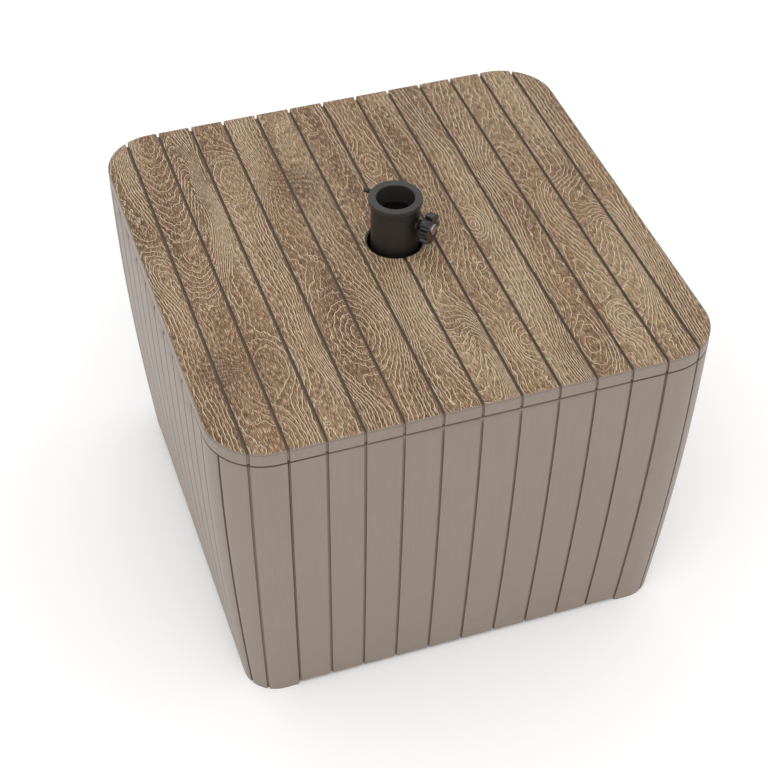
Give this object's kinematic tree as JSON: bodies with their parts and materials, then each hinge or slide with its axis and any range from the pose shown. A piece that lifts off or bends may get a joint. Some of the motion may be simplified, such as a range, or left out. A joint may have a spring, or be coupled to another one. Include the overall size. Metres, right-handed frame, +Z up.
{
  "type": "garden side table with parasol stand",
  "caption": "Square garden side table with a slatted wood effect lid over bulging grooved walls, hiding a ballasted parasol stand whose clamp tube comes up through the lid.",
  "frame": {"origin": "on the floor, under the middle of the table", "axes": "+Z up; the front wall faces -Y and the strips of the top run along Y; +X to the right of the front"},
  "size_m": [0.62, 0.62, 0.529],
  "materials": {
    "taupe_resin": "satin, fine upright grain",
    "wood_effect": "limed oak effect, matte",
    "charcoal_coated_steel": "satin powder coat",
    "charcoal_plastic": "satin",
    "black_plastic": "satin",
    "zinc_plated_steel": "bright",
    "black_rubber": "matte",
    "concrete": "cast"
  },
  "bodies": {
    "housing": {"wall_right": "taupe_resin", "wall_back": "taupe_resin", "wall_left": "taupe_resin", "wall_front": "taupe_resin", "corner_back_right": "taupe_resin", "corner_back_left": "taupe_resin", "corner_front_left": "taupe_resin", "corner_front_right": "taupe_resin", "rail_joint_plates": "zinc_plated_steel", "rail_screws": "zinc_plated_steel", "floor_tray": "taupe_resin", "foot_screws": "zinc_plated_steel", "stand_arm_1": "charcoal_coated_steel", "stand_arm_2": "charcoal_coated_steel", "stand_arm_3": "charcoal_coated_steel", "stand_arm_4": "charcoal_coated_steel", "arm_pads": "black_rubber", "arm_end_caps": "black_plastic", "hub_plate": "charcoal_coated_steel", "hub_bolts": "zinc_plated_steel", "hub_nuts": "zinc_plated_steel", "tube_socket": "charcoal_coated_steel", "ballast_slab_1": "concrete", "ballast_slab_2": "concrete", "ballast_slab_3": "concrete", "ballast_slab_4": "concrete"},
    "lid": {"lid_shell": "taupe_resin", "lid_battens": "taupe_resin", "hole_collar": "charcoal_plastic", "top_strip_1": "wood_effect", "top_strip_2": "wood_effect", "top_strip_3": "wood_effect", "top_strip_4": "wood_effect", "top_strip_5": "wood_effect", "top_strip_6": "wood_effect", "top_strip_7": "wood_effect", "top_strip_8": "wood_effect", "top_strip_9": "wood_effect", "top_strip_10": "wood_effect", "top_strip_11": "wood_effect", "top_strip_12": "wood_effect", "top_strip_13": "wood_effect", "top_strip_14": "wood_effect"},
    "stand_tube_body": {"stand_tube": "charcoal_coated_steel", "pole_cup": "black_plastic", "rim_ring": "charcoal_plastic", "rim_screw": "charcoal_coated_steel", "clamp_boss": "charcoal_coated_steel"},
    "clamp_shoe_body": {"clamp_shoe": "black_plastic"},
    "clamp_knob": {"clamp_stud": "charcoal_coated_steel", "clamp_grip": "black_plastic", "clamp_cap": "zinc_plated_steel"}
  },
  "joints": [
    {"name": "lid_lift", "type": "slide", "parent": "housing", "child": "lid", "axis": [0, 0, 1], "range_m": [0, 0.012]},
    {"name": "tube_lift", "type": "slide", "parent": "housing", "child": "stand_tube_body", "axis": [0, 0, 1], "range_m": [0, 0.12]},
    {"name": "clamp_advance", "type": "slide", "parent": "stand_tube_body", "child": "clamp_shoe_body", "axis": [0.7071, -0.7071, 0], "range_m": [-0.005, 0.008]},
    {"name": "clamp_turn", "type": "hinge", "parent": "clamp_shoe_body", "child": "clamp_knob", "pos_m": [0.02828, -0.02828, 0.4965], "axis": [0.7071, -0.7071, 0], "range_deg": [-1440, 2300]}
  ],
  "couplings": [
    {"joint": "clamp_advance", "follows": "clamp_turn", "m_per_rad": 0.00019894}
  ]
}
